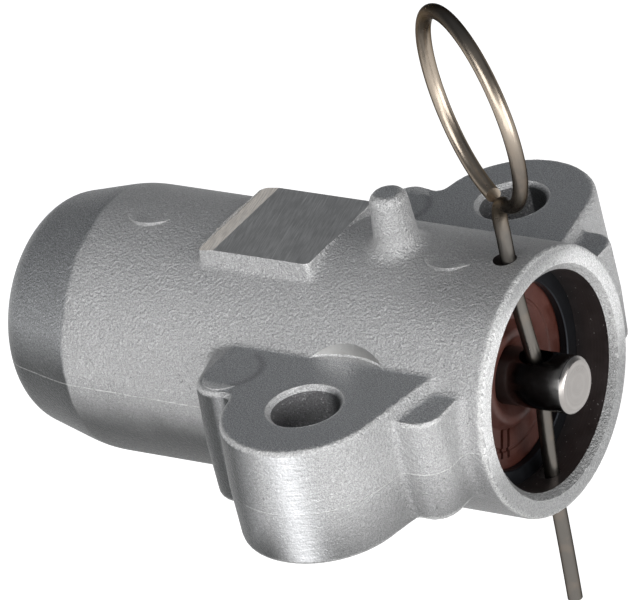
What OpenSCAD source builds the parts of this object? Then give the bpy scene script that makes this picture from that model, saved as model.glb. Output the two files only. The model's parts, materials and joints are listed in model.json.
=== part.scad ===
// Hydraulic tensioner for a timing belt: a cast barrel with two bolted ears, a sprung push rod
// behind an oil seal, and a wire set pin that holds the rod in until the tensioner is fitted.
// Frame: origin midway between the two mounting holes, on the barrel's axis. +X runs out along
// the rod and +Z along the mounting holes, towards the stub and the milled pad.

/* [Barrel] */
// Radius of the bore at the seal
bore_r = 15.2; // [14:0.1:16.5]
// Wall of the barrel round that bore
wall_t = 3.5; // [3:0.1:5]
// From the mounting holes forward to the rim
front_l = 21.2; // [20.5:0.1:26]
// From the mounting holes back to the closed rear end
rear_l = 60.4; // [56:0.1:66]
// Length of the tapered tail
tail_l = 13.4; // [10:0.1:16]
// Half angle of the tail, degrees
tail_angle = 14; // [8:1:18]
// Rounding between the tail and the rear end
tail_round = 4.5; // [3:0.5:7]
// Rounding of the rim's outer edge
rim_round = 0.7; // [0.3:0.1:1.2]
// Chamfer of the bore's mouth
mouth_chamfer = 0.9; // [0.4:0.1:1.5]

/* [Ears] */
// From the barrel's side out to a mounting hole
hole_out = 8.5; // [8:0.1:12]
// Diameter of the mounting holes
hole_d = 9.4; // [8:0.1:11]
// Chamfer of the mounting holes
hole_chamfer = 0.9; // [0.3:0.1:1.5]
// Height of the ears' upper faces above the parting plane
ear_up = 9.5; // [8:0.1:10.5]
// Depth of the ears' seating faces below the parting plane
ear_down = 8.3; // [7:0.1:9.5]
// Radius of a boss at the parting plane
boss_r = 12; // [11:0.1:13]
// Draft of the ears' walls, degrees
draft = 2; // [1:0.5:4]
// Rounding of the ears' edges
ear_round = 0.9; // [0.5:0.1:1.5]
// Radius of the bolt head clearance that is scooped from the barrel
scoop_r = 12.5; // [12:0.1:13.5]
// From the mounting holes forward to an ear's front wall
ear_front = 14; // [13:0.1:16]
// Height of the lower web in front of an ear, above the parting plane
web_up = 7.7; // [6:0.1:8.5]
// Depth of that web below the parting plane
web_down = 7.4; // [6:0.1:8]
// From the mounting holes forward to the web's end
web_front = 18.3; // [16.5:0.1:19.5]
// From the barrel's side out to the web's side
web_out = 6.8; // [5:0.1:8]
// Corner radius of the web
web_round = 2.6; // [1.8:0.1:3.5]
// Radius of the ejector lobe behind an ear
lobe_r = 3.8; // [3.2:0.1:4.5]
// From the mounting holes back to the lobe
lobe_back = 15.2; // [14:0.1:17]
// From the barrel's side out to the lobe's centre
lobe_out = 3.2; // [2:0.1:4]
// From the lobe back to its root on the barrel
lobe_root = 5; // [2:0.1:6]

/* [Stub, pad and ejector marks] */
// Height of the stub above the barrel's crown
stub_h = 8.1; // [6:0.1:10]
// Radius of the stub's top
stub_r = 2.6; // [2:0.1:3.2]
// Draft of the stub, degrees
stub_draft = 4; // [2:0.5:6]
// Rounding of the stub's top
stub_round = 1.4; // [0.6:0.1:1.7]
// Fillet at the stub's foot
stub_fillet = 2; // [1:0.1:2.5]
// Height of the milled pad above the barrel's crown
pad_rise = 0.2; // [0.1:0.05:1]
// Half width of the milled pad
pad_half_w = 8.5; // [6:0.1:9.5]
// From the mounting holes back to the pad's front edge
pad_back = 9.2; // [7.5:0.1:11]
// Length of the milled pad
pad_l = 18; // [12:0.1:20]
// Length of the bevel at the pad's rear
pad_bevel = 1.7; // [0.8:0.1:2.5]
// Drop of that bevel
pad_drop = 0.7; // [0.3:0.1:1.2]
// Radius of an ejector pin's mark
mark_r = 4; // [3:0.1:4.2]
// Depth of the ejector marks below the barrel's crown
mark_sink = 0.2; // [0.15:0.05:0.4]
// From the mounting holes forward to the front mark
mark_fore = 9.4; // [9:0.1:12]
// From the mounting holes back to the rear mark
mark_back = 39; // [35:0.1:42]

/* [Inside of the barrel] */
// Radius of the oil reservoir behind the seal
reservoir_r = 13.6; // [12.5:0.1:13.8]
// Thickness of the closed rear end
floor_t = 5.2; // [4:0.1:7]
// Depth of the bore for the sleeve
sleeve_bore_l = 31; // [28:0.5:34]
// Length of the sleeve that stands out of its bore
sleeve_proud = 2; // [1:0.1:3]
// Radius of the sleeve's bore
sleeve_r = 6.5; // [6:0.1:7.2]
// Wall of the sleeve
sleeve_wall = 3; // [2.2:0.1:3.6]
// Clearance on radius between sliding pieces
run_clear = 0.03; // [0.02:0.01:0.05]
// Clearance between pressed and seated pieces
seat_clear = 0.02; // [0.01:0.01:0.05]

/* [Seal and retaining ring] */
// From the rim back to the retaining ring
ring_inset = 6.1; // [5.6:0.1:8]
// Thickness of the retaining ring
ring_t = 1.3; // [1:0.1:1.8]
// Width of the retaining ring in view
ring_w = 2.2; // [1.8:0.1:2.6]
// Depth of the ring's groove in the bore
ring_groove = 0.9; // [0.6:0.1:1.2]
// Opening between the ring's ends
ring_gap = 5; // [3:0.5:8]
// Thickness of the oil seal
seal_t = 4.8; // [4.4:0.1:6]
// Thickness of the seal's front wall
seal_wall = 1.6; // [1.2:0.1:1.9]
// Wall of the seal's case
case_wall = 1.4; // [1:0.1:1.5]
// Wall of the raised neck round the rod
neck_wall = 3.4; // [2.4:0.1:4]
// Height of that neck
neck_h = 1.4; // [0.6:0.1:1.8]
// Wall of the sealing lip
lip_wall = 1.6; // [1.2:0.1:2]
// Radius of the garter spring's coil
garter_r = 0.7; // [0.5:0.05:0.8]
// Radius of the moulded line on the seal's face
line_r = 10.4; // [9:0.1:11.5]

/* [Rod and plunger] */
// Diameter of the push rod
rod_d = 8; // [7:0.1:9]
// Length of rod in view beyond the rim
rod_out = 3.5; // [2.5:0.1:6]
// Chamfer of the rod's end
rod_chamfer = 0.5; // [0.3:0.1:1]
// Step from the rod to its head inside the wear ring
head_step = 2; // [1.5:0.1:2.4]
// Step from that head to the flange behind the wear ring
flange_step = 2.6; // [1.5:0.1:3.5]
// Thickness of that flange
flange_t = 2.5; // [2:0.1:3.5]
// From the sleeve's end forward to the flange
flange_gap = 5; // [3:0.1:6]
// Length of the wear ring
wear_l = 8; // [6:0.1:9]
// Diameter of the wear ring's oil holes
oil_hole_d = 2.6; // [2:0.1:3]
// Thickness of the wear ring's clip
clip_t = 1.2; // [0.8:0.1:1.5]
// Depth of the clip's groove in the rod
clip_groove = 0.8; // [0.5:0.1:1]
// Length of the plunger
plunger_l = 17; // [15:0.1:18]
// Radius of the plunger's oil passage
passage_r = 1.5; // [1:0.1:1.7]
// Width and depth of the oil slot in the plunger's front
oil_slot = 2; // [1.5:0.1:2.5]

/* [Check valve and springs] */
// Radius of the check ball
ball_r = 2; // [1.9:0.05:2.3]
// Room round the ball in its cage
ball_room = 0.4; // [0.3:0.05:0.6]
// Sheet thickness of the cage
cage_t = 0.5; // [0.4:0.05:0.7]
// Length of the ball's spring
ball_spring_l = 2.2; // [1.8:0.1:2.6]
// Wire diameter of the ball's spring
ball_wire_d = 0.4; // [0.3:0.05:0.5]
// Turns of the ball's spring
ball_turns = 3; // [2:0.5:3.5]
// Length of the return spring with the set pin in
spring_l = 13; // [12:0.1:14.5]
// Wire diameter of the return spring
spring_wire_d = 1.5; // [1.2:0.1:1.7]
// Turns of the return spring
spring_turns = 5; // [4:0.5:6]
// Room between the return spring and the sleeve
spring_room = 0.5; // [0.3:0.1:0.7]

/* [Set pin] */
// Wire diameter of the set pin
wire_d = 2.1; // [1.8:0.1:2.4]
// Play of the set pin in the barrel's holes, on diameter
pin_play = 1.2; // [0.8:0.1:1.5]
// Play of the set pin in the rod's cross hole, on diameter
rod_play = 1.6; // [1:0.1:1.8]
// From the rim back to the set pin's holes
pin_inset = 4.2; // [3.6:0.1:4.5]
// Set pin in view below the barrel
pin_tail = 16.8; // [8:0.1:20]
// Gap between the barrel's crown and the ring's wire
loop_rise = 9.2; // [8:0.1:12]
// Centre line radius of the set pin's ring
loop_r = 13.9; // [12:0.1:16]
// Offset of the ring's centre from the shank, towards the bend
loop_offset = 1; // [0.4:0.1:1.6]
// Turn of the ring about the shank, degrees from the rod
loop_turn = 145; // [0:1:180]
// Lean of the ring from the shank, degrees
loop_lean = 3.5; // [0:0.5:6]
// Turn of the bend between the shank and the ring, degrees
bend_turn = 75; // [72:1:78]
// Turn of the ring at its cut end, degrees
loop_end = 351; // [320:1:354]

/* [Hidden] */
$fn = 96;
hull_fn = 32;
arc_steps = 8;
over = 1;

// Radii of the barrel and of what stands beside it
barrel_r = bore_r + wall_t;
hole_y = barrel_r + hole_out;
web_y = barrel_r + web_out;
lobe_y = barrel_r + lobe_out;

// Stations along the barrel, from the rear to the rim
floor_x = floor_t - rear_l;
step_x = floor_x + sleeve_bore_l;
sleeve_end_x = step_x + sleeve_proud;
cage_x = floor_x + spring_l;
plunger_x = cage_x + cage_t;
rod_x = plunger_x + plunger_l;
flange_x = sleeve_end_x + flange_gap;
wear_x = flange_x + flange_t;
clip_x = wear_x + wear_l + seat_clear;
head_x = clip_x + clip_t + clip_t;
shank_x = head_x + head_step;
ring_x = front_l - ring_inset - ring_t;
seal_x = ring_x - seat_clear - seal_t;
seal_face_x = seal_x + seal_t;
rod_end_x = front_l + rod_out;

// Fits of the rod, the plunger and the valve
rod_r = rod_d / 2;
head_r = rod_r + head_step;
flange_r = head_r + flange_step;
clip_r = head_r - clip_groove;
tail_r = sleeve_r - spring_wire_d;
sleeve_out_r = sleeve_r + sleeve_wall;
plunger_r = sleeve_r - run_clear;
seat_drop = sqrt(pow(ball_r + seat_clear, 2) - pow(passage_r, 2));
ball_x = plunger_x - seat_drop;
cage_in_r = ball_r + ball_room;
cage_end_x = ball_x - ball_r - ball_spring_l;
cage_flange_r = sleeve_r - spring_room;
spring_mean_r = sleeve_r - spring_room - spring_wire_d / 2;

// Fits of the set pin: the rod presses it against the front of the barrel's holes
wire_r = wire_d / 2;
pin_hole_d = wire_d + pin_play;
rod_hole_d = wire_d + rod_play;
pin_hole_x = front_l - pin_inset;
pin_x = pin_hole_x + pin_play / 2 - seat_clear;
rod_hole_x = pin_x + rod_play / 2 - seat_clear;
pin_low = barrel_r + pin_tail;
loop_z = barrel_r + loop_rise + wire_r + loop_r;

// The bend leaves the shank and meets the ring on one tangent
meet_turn = 90 - bend_turn;
bend_r = (loop_r * sin(meet_turn) + loop_offset) / (1 - cos(bend_turn));
bend_z = loop_z - loop_r * cos(meet_turn) - bend_r * sin(bend_turn);

// Seal: where its lip and garter spring lie
lip_r = rod_r + run_clear;
garter_x = seal_x + garter_r + seat_clear;
garter_mean_r = lip_r + lip_wall;

// Points along an arc, from one angle to another
function arc(centre, r, from, to) = [for (i = [0 : arc_steps])
    let (turn = from + (to - from) * i / arc_steps) centre + r * [cos(turn), sin(turn)]];

// A revolve about the barrel's axis: its outline is drawn as radius, station
module turned() {
    rotate([0, 90, 0]) rotate_extrude() children();
}

// A band of a revolve's outline between two radii and two stations
module band(r1, r2, x1, x2) {
    translate([r1, x1]) square([r2 - r1, x2 - x1]);
}

// A ring or disc about the barrel's axis
module ring(r1, r2, x1, x2) {
    turned() band(r1, r2, x1, x2);
}

// A cylinder along +Z through a place in plan
module post(x, y, r, z1, z2) {
    translate([x, y, z1]) cylinder(r = r, h = z2 - z1);
}

// Half of a drafted round outline with its edge rounded, as radius, height
module drafted_half(r, h, slope, round) {
    edge_z = h - round;
    edge_r = r - edge_z * tan(slope) - round / cos(slope);
    polygon(concat([[0, 0], [r, 0]], arc([edge_r, edge_z], round, slope, 90), [[0, h]]));
}

// A cast post that narrows both ways from the parting plane, with its edges broken
module cast_post(x, y, r, up, down) {
    translate([x, y, 0]) {
        cast_post_half(r, up);
        mirror([0, 0, 1]) cast_post_half(r, down);
    }
}

module cast_post_half(r, h) {
    wall = h - ear_round;
    top_r = r - wall * tan(draft);
    cylinder(r1 = r, r2 = top_r, h = wall, $fn = hull_fn);
    translate([0, 0, wall]) cylinder(r1 = top_r, r2 = top_r - ear_round, h = ear_round, $fn = hull_fn);
}

// A helical wire of round section along the barrel's axis
module coil(x1, x2, mean_r, wire, turns, steps, sides) {
    function place(t) = let (turn = 360 * turns * t)
        [x1 + wire / 2 + (x2 - x1 - wire) * t, mean_r * cos(turn), mean_r * sin(turn)];
    function rim(t, s) = let (turn = 360 * turns * t, around = 360 * s / sides)
        place(t) + wire / 2 * [sin(around), cos(around) * cos(turn), cos(around) * sin(turn)];
    count = ceil(steps * turns);
    rims = [for (i = [0 : count]) for (s = [0 : sides - 1]) rim(i / count, s)];
    walls = [for (i = [0 : count - 1]) for (s = [0 : sides - 1])
        let (next = (s + 1) % sides)
        [i * sides + s, i * sides + next, (i + 1) * sides + next, (i + 1) * sides + s]];
    ends = [[for (s = [sides - 1 : -1 : 0]) s], [for (s = [0 : sides - 1]) count * sides + s]];
    polyhedron(rims, concat(walls, ends));
}

// Outside of the barrel: a straight body, a tapered tail and a rounded rear end
module barrel_outside() {
    tail_x = tail_l - rear_l;
    round_x = tail_round - rear_l;
    round_r = barrel_r + (round_x - tail_x) * tan(tail_angle) - tail_round / cos(tail_angle);
    turned() {
        polygon([[0, -rear_l], [round_r, -rear_l],
                 [round_r + tail_round * cos(tail_angle), round_x - tail_round * sin(tail_angle)],
                 [barrel_r, tail_x], [barrel_r, front_l - rim_round],
                 [barrel_r - rim_round, front_l], [0, front_l]]);
        translate([round_r, round_x]) circle(tail_round);
        translate([barrel_r - rim_round, front_l - rim_round]) circle(rim_round);
    }
}

// Stepped bore, with the seal's seat, the ring's groove and the sleeve's seat
module barrel_bore() {
    turned() {
        band(0, sleeve_out_r + seat_clear, floor_x, step_x + over);
        band(0, reservoir_r, step_x, seal_x + over);
        band(0, bore_r, seal_x, front_l + over);
        band(0, bore_r + ring_groove, ring_x - seat_clear, ring_x + ring_t + seat_clear);
        polygon([[0, front_l - mouth_chamfer], [bore_r, front_l - mouth_chamfer],
                 [bore_r + mouth_chamfer, front_l], [bore_r + mouth_chamfer, front_l + over],
                 [0, front_l + over]]);
    }
}

// One ear on the +Y side: boss, shoulder to the barrel, thinner front web and ejector lobe
module ear() {
    shoulder_y = barrel_r - wall_t / 2;
    translate([0, hole_y, 0]) rotate_extrude() {
        drafted_half(boss_r, ear_up, draft, ear_round);
        mirror([0, 1]) drafted_half(boss_r, ear_down, draft, ear_round);
    }
    hull() {
        cast_post(0, hole_y, boss_r - ear_round / 4, ear_up, ear_down);
        cast_post(ear_front - web_round, shoulder_y, web_round, ear_up, ear_down);
        cast_post(web_round - boss_r, shoulder_y, web_round, ear_up, ear_down);
    }
    hull() for (x = [ear_front - 2 * web_round, web_front - web_round])
        for (y = [shoulder_y, web_y - web_round]) cast_post(x, y, web_round, web_up, web_down);
    hull() {
        cast_post(-lobe_back, lobe_y, lobe_r, ear_up, ear_down);
        cast_post(-lobe_back - lobe_root, shoulder_y, web_round, ear_up, ear_down);
        cast_post(-boss_r / 2, shoulder_y, web_round, ear_up, ear_down);
        cast_post(-boss_r / 2, lobe_y, web_round, ear_up, ear_down);
    }
}

// Locating stub on the barrel's crown
module stub() {
    foot_r = stub_r + stub_h * tan(stub_draft);
    flare_r = foot_r + stub_fillet;
    foot_z = sqrt(pow(barrel_r, 2) - pow(flare_r, 2));
    top_h = barrel_r + stub_h - foot_z;
    rotate_extrude() {
        translate([0, foot_z]) drafted_half(foot_r, top_h, stub_draft, stub_round);
        difference() {
            translate([0, foot_z - wall_t / 2]) square([flare_r, wall_t / 2 + stub_fillet]);
            translate([flare_r, foot_z + stub_fillet]) circle(stub_fillet);
        }
    }
}

// Milled pad, flat on top, with a bevel down to the barrel at its rear
module pad() {
    top = barrel_r + pad_rise;
    rear = -pad_back - pad_l;
    rotate([90, 0, 0]) linear_extrude(2 * pad_half_w, center = true)
        polygon([[rear, bore_r - wall_t], [-pad_back, bore_r - wall_t], [-pad_back, top],
                 [rear + pad_bevel, top], [rear, top - pad_drop]]);
}

// Mounting hole with both mouths chamfered, and the bolt head's clearance above it
module mounting_hole() {
    mouth_r = hole_d / 2 + hole_chamfer;
    post(0, hole_y, hole_d / 2, -barrel_r, barrel_r);
    translate([0, hole_y, ear_up - hole_chamfer])
        cylinder(r1 = hole_d / 2, r2 = mouth_r + over, h = hole_chamfer + over);
    translate([0, hole_y, -ear_down - over])
        cylinder(r1 = mouth_r + over, r2 = hole_d / 2, h = hole_chamfer + over);
    post(0, hole_y, scoop_r, ear_up, barrel_r + stub_h);
}

module housing() {
    mark_z = barrel_r - mark_sink;
    color("silver") difference() {
        union() {
            barrel_outside();
            for (side = [0, 1]) mirror([0, side, 0]) ear();
            stub();
            pad();
            for (x = [mark_fore, -mark_back]) post(x, 0, mark_r, bore_r, mark_z);
        }
        barrel_bore();
        for (side = [0, 1]) mirror([0, side, 0]) mounting_hole();
        for (x = [mark_fore, -mark_back]) post(x, 0, mark_r, mark_z, barrel_r + over);
        post(pin_hole_x, 0, pin_hole_d / 2, -barrel_r - over, barrel_r + over);
    }
}

module sleeve() {
    color("gray") ring(sleeve_r, sleeve_out_r, floor_x + seat_clear, sleeve_end_x);
}

module plunger() {
    color("lightgray") difference() {
        ring(0, plunger_r, plunger_x, rod_x);
        ring(0, passage_r, plunger_x - over, rod_x + over);
        translate([rod_x - oil_slot, -sleeve_r, -oil_slot / 2]) cube([2 * oil_slot, 2 * sleeve_r, oil_slot]);
    }
}

module check_ball() {
    color("white") translate([ball_x, 0, 0]) sphere(ball_r);
}

module check_ball_spring() {
    color("gray") coil(cage_end_x, ball_x - ball_r, passage_r, ball_wire_d, ball_turns, 16, 6);
}

module check_valve_cage() {
    color("darkkhaki") turned() difference() {
        union() {
            band(cage_in_r, cage_flange_r, cage_x, plunger_x);
            band(passage_r / 2, cage_in_r + cage_t, cage_end_x - cage_t, plunger_x);
        }
        band(0, cage_in_r, cage_end_x, plunger_x + over);
    }
}

module return_spring() {
    color("dimgray") coil(floor_x, cage_x, spring_mean_r, spring_wire_d, spring_turns, 24, 8);
}

module push_rod() {
    color("dimgray") difference() {
        turned() {
            band(0, tail_r, rod_x, flange_x);
            band(0, flange_r, flange_x, wear_x);
            band(0, head_r, wear_x, clip_x);
            band(0, clip_r, clip_x, clip_x + clip_t);
            polygon([[0, clip_x + clip_t], [head_r, clip_x + clip_t], [head_r, head_x], [rod_r, shank_x],
                     [rod_r, rod_end_x - rod_chamfer], [rod_r - rod_chamfer, rod_end_x], [0, rod_end_x]]);
        }
        post(rod_hole_x, 0, rod_hole_d / 2, -rod_d, rod_d);
    }
}

module wear_ring() {
    hole_r = (head_r + reservoir_r) / 2 + oil_hole_d / 4;
    color("tan") difference() {
        ring(head_r + seat_clear, reservoir_r - run_clear, wear_x, wear_x + wear_l);
        for (turn = [0 : 60 : 300]) rotate([turn, 0, 0]) translate([wear_x - over, 0, hole_r])
            rotate([0, 90, 0]) cylinder(d = oil_hole_d, h = wear_l + 2 * over);
    }
}

module wear_ring_clip() {
    color("gray") difference() {
        ring(clip_r + seat_clear, head_r + flange_step / 2, clip_x, clip_x + clip_t - seat_clear);
        translate([clip_x - over, -flange_r - over, -head_step / 2]) cube([clip_t + 2 * over, flange_r, head_step]);
    }
}

// Rubber seal on a steel case: front wall, neck, and a lip that the garter spring grips
module oil_seal() {
    case_r = bore_r - seat_clear;
    wall_x = seal_face_x - seal_wall;
    neck_r = rod_r + neck_wall;
    color("saddlebrown") turned() difference() {
        union() {
            band(case_r - case_wall, case_r, seal_x, seal_face_x);
            band(lip_r, case_r, wall_x, seal_face_x);
            band(lip_r, garter_mean_r, seal_x, wall_x + over / 2);
            polygon([[lip_r, wall_x], [neck_r, wall_x], [neck_r, seal_face_x],
                     [neck_r - neck_h / 2, seal_face_x + neck_h], [lip_r + neck_h, seal_face_x + neck_h],
                     [lip_r, seal_face_x]]);
        }
        translate([garter_mean_r, garter_x]) circle(garter_r + seat_clear);
        translate([line_r, seal_face_x]) circle(seal_wall / 8);
    }
}

module garter_spring() {
    color("gray") turned() translate([garter_mean_r, garter_x]) circle(garter_r);
}

module retaining_ring() {
    color("slategray") difference() {
        ring(bore_r - ring_w, bore_r + ring_groove - seat_clear, ring_x, ring_x + ring_t);
        translate([ring_x - over, -barrel_r, -ring_gap / 2]) cube([ring_t + 2 * over, barrel_r, ring_gap]);
    }
}

// One bent wire: straight shank through the barrel, a bend, and a leaning ring with a cut end
module set_pin() {
    knuckle_r = wire_r + seat_clear;
    color("darkkhaki") union() {
        post(pin_x, 0, wire_r, -pin_low, bend_z);
        translate([pin_x, 0, bend_z]) rotate([90, 0, loop_turn]) rotate([-loop_lean, 0, 0]) {
            sphere(knuckle_r);
            translate([-bend_r, 0]) {
                rotate_extrude(angle = bend_turn) translate([bend_r, 0]) circle(wire_r);
                rotate([0, 0, bend_turn]) translate([bend_r, 0]) sphere(knuckle_r);
            }
            translate([-loop_offset, loop_z - bend_z]) rotate([0, 0, 270 - loop_end])
                rotate_extrude(angle = loop_end - meet_turn) translate([loop_r, 0]) circle(wire_r);
        }
    }
}

housing();
sleeve();
plunger();
check_ball();
check_ball_spring();
check_valve_cage();
return_spring();
push_rod();
wear_ring();
wear_ring_clip();
oil_seal();
garter_spring();
retaining_ring();
set_pin();
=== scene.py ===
"""Hydraulic timing belt tensioner: its visible pieces, their finishes, and a plain studio.

Lengths in the classes are millimetres in the frame of the CAD model: the origin is midway between the
mounting holes on the barrel's axis, +X runs out along the push rod and +Z towards the stub.
"""
from __future__ import annotations

import functools
import json
import logging
import math
from dataclasses import dataclass, field
from enum import Enum, IntEnum
from typing import Any, Callable, Mapping, Optional, Sequence, Union

import bmesh
import bpy
import numpy as np
from bpy.types import Material, Mesh, NodeSocket, NodeTree, Object
from mathutils import Matrix, Vector

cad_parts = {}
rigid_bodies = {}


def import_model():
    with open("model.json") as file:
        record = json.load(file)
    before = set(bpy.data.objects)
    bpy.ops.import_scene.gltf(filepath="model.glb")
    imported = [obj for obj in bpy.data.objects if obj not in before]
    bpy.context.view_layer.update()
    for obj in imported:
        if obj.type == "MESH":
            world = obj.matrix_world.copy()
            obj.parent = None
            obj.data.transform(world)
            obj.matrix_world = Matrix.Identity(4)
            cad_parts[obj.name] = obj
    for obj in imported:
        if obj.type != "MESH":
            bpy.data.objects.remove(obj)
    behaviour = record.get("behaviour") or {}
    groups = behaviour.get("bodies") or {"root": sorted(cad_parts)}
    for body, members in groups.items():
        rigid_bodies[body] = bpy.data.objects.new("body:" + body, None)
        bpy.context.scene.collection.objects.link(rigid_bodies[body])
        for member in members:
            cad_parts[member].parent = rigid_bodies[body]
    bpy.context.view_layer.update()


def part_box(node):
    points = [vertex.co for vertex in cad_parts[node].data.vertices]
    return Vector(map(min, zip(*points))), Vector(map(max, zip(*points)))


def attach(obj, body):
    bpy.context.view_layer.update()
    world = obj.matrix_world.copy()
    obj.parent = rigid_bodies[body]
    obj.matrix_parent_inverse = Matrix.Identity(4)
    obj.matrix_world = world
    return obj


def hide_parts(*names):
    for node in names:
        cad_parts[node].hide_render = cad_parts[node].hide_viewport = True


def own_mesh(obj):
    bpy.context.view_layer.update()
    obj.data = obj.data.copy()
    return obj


LOG = logging.getLogger("tensioner")
MM = 0.001
FULL_TURN = 360.0
WELD = 1e-4
NEAR = 0.05
FLUSH = 0.02
SIDES = (-1, 1)
Colour = tuple[float, float, float]
Place = tuple[float, float, float]
Spot = tuple[float, float]
Value = Union[float, "Sock"]
Paint = Union[Colour, "Sock"]
Sockets = Mapping[Union[int, str], Any]


def math_method(operation: str, reflected: bool = False) -> Callable[[Sock, Value], Sock]:
    """Make a method that adds a Math node on a socket and another value.

    Args:
        operation: the Math node's operation.
        reflected: whether the other value comes first.

    Returns:
        The method.
    """
    def method(sock: Sock, other: Value) -> Sock:
        """Return the result."""
        return sock.tree.math(operation, *((other, sock) if reflected else (sock, other)))

    return method


class Sock:
    """A node's output, whose arithmetic adds Math nodes to its tree."""

    __add__ = __radd__ = math_method("ADD")
    __sub__ = math_method("SUBTRACT")
    __rsub__ = math_method("SUBTRACT", reflected=True)
    __mul__ = __rmul__ = math_method("MULTIPLY")
    __truediv__ = math_method("DIVIDE")
    __rtruediv__ = math_method("DIVIDE", reflected=True)
    __pow__ = math_method("POWER")

    def __init__(self, tree: Tree, socket: NodeSocket) -> None:
        """Keep the output and the tree that it lies in."""
        self.tree = tree
        self.socket = socket

    def __neg__(self) -> Sock:
        """Return the value with its sign turned."""
        return self * -1.0

    def __abs__(self) -> Sock:
        """Return the size of the value."""
        return self.tree.math("ABSOLUTE", self)

    def step(self, low: float, high: float) -> Sock:
        """Rise smoothly from 0 at one value to 1 at another, or fall where the first is the higher."""
        start, end, first, last = (low, high, 0.0, 1.0) if low < high else (high, low, 1.0, 0.0)
        return self.tree.node("ShaderNodeMapRange", {0: self, 1: start, 2: end, 3: first, 4: last},
                              interpolation_type="SMOOTHSTEP")

    def axis(self, name: str) -> Sock:
        """Return one part of a vector, by its letter."""
        return self.tree.node("ShaderNodeSeparateXYZ", {0: self}, output=name)

    def scaled(self, *gains: float) -> Sock:
        """Scale a vector along each axis."""
        return self.tree.node("ShaderNodeVectorMath", {0: self, 1: gains}, operation="MULTIPLY")


class Tree:
    """A node tree that is built by calls."""

    def __init__(self, nodes: NodeTree) -> None:
        """Wrap a tree of shader or geometry nodes."""
        self.nodes = nodes

    def node(self, kind: str, sockets: Optional[Sockets] = None, output: Union[int, str] = 0,
             **settings: Any) -> Sock:
        """Add a node.

        Args:
            kind: the node's type.
            sockets: a value or a link for each named or numbered input.
            output: the output that is handed back.
            **settings: the node's own settings, set first; stops are a ramp's places and colours.

        Returns:
            The chosen output.
        """
        node = self.nodes.nodes.new(kind)
        stops = settings.pop("stops", None)
        for name, value in settings.items():
            setattr(node, name, value)
        if stops:
            elements = node.color_ramp.elements
            while len(elements) < len(stops):
                elements.new(0.5)
            for element, (place, colour) in zip(elements, stops):
                element.position = place
                element.color = (*colour, 1.0)
        self.fill(node, sockets or {})
        return Sock(self, node.outputs[output])

    def fill(self, node: bpy.types.Node, sockets: Sockets) -> None:
        """Give a node's inputs their values or links.

        Args:
            node: the node.
            sockets: a value or a link for each named or numbered input.
        """
        for key, value in sockets.items():
            if isinstance(value, Sock):
                self.nodes.links.new(value.socket, node.inputs[key])
            else:
                node.inputs[key].default_value = value

    def math(self, operation: str, *values: Value) -> Sock:
        """Add a Math node on the given values."""
        return self.node("ShaderNodeMath", dict(enumerate(values)), operation=operation)

    def attribute(self, name: str) -> Sock:
        """Read a number that is stored at the mesh's points."""
        return self.node("ShaderNodeAttribute", output="Fac", attribute_name=name)

    def noise(self, place: Sock, scale: float, detail: float = 3.0, rough: float = 0.55) -> Sock:
        """Add a noise of a given number of cells to the millimetre, about 0.5 on average."""
        return self.node("ShaderNodeTexNoise",
                         {"Vector": place, "Scale": scale, "Detail": detail, "Roughness": rough})

    def layered(self, base: Paint, *layers: tuple[Value, Paint]) -> Sock:
        """Lay colours over a base.

        Args:
            base: the colour at the bottom.
            *layers: factor and colour of each layer; a factor of 1 hides what is below.

        Returns:
            The mixed colour.
        """
        for factor, colour in layers:
            ends = {key: end if isinstance(end, Sock) else (*end, 1.0)
                    for key, end in ((6, base), (7, colour))}
            base = self.node("ShaderNodeMix", {0: factor, **ends}, output=2, data_type="RGBA")
        return base


def greatest(first: Value, *others: Value) -> Sock:
    """Return the greatest of some values, the first of them a socket."""
    return functools.reduce(lambda one, other: one.tree.math("MAXIMUM", one, other), others, first)


def least(first: Value, *others: Value) -> Sock:
    """Return the least of some values, the first of them a socket."""
    return functools.reduce(lambda one, other: one.tree.math("MINIMUM", one, other), others, first)


def length(across: Sock, along: Sock) -> Sock:
    """Return the length of a plane vector."""
    return (across * across + along * along) ** 0.5


def rounded(first: Sock, second: Sock, radius: Value) -> Sock:
    """Cut one solid by another, given as distances below 0 inside, and round the edge between them."""
    one, two = first + radius, second + radius
    return length(greatest(one, 0.0), greatest(two, 0.0)) + least(greatest(one, two), 0.0) - radius


def filleted(first: Sock, second: Sock, radius: Value) -> Sock:
    """Join two solids, given as distances below 0 inside, with a cast fillet between them."""
    one, two = greatest(radius - first, 0.0), greatest(radius - second, 0.0)
    return greatest(least(first, second), radius) - length(one, two)


@dataclass(frozen=True)
class Corner:
    """A round corner of an outline, seen along Z."""

    x: float
    y: float
    radius: float

    def field(self, x: Sock, y: Sock) -> Sock:
        """Return the distance to the corner's circle."""
        return length(x - self.x, y - self.y) - self.radius


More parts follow.
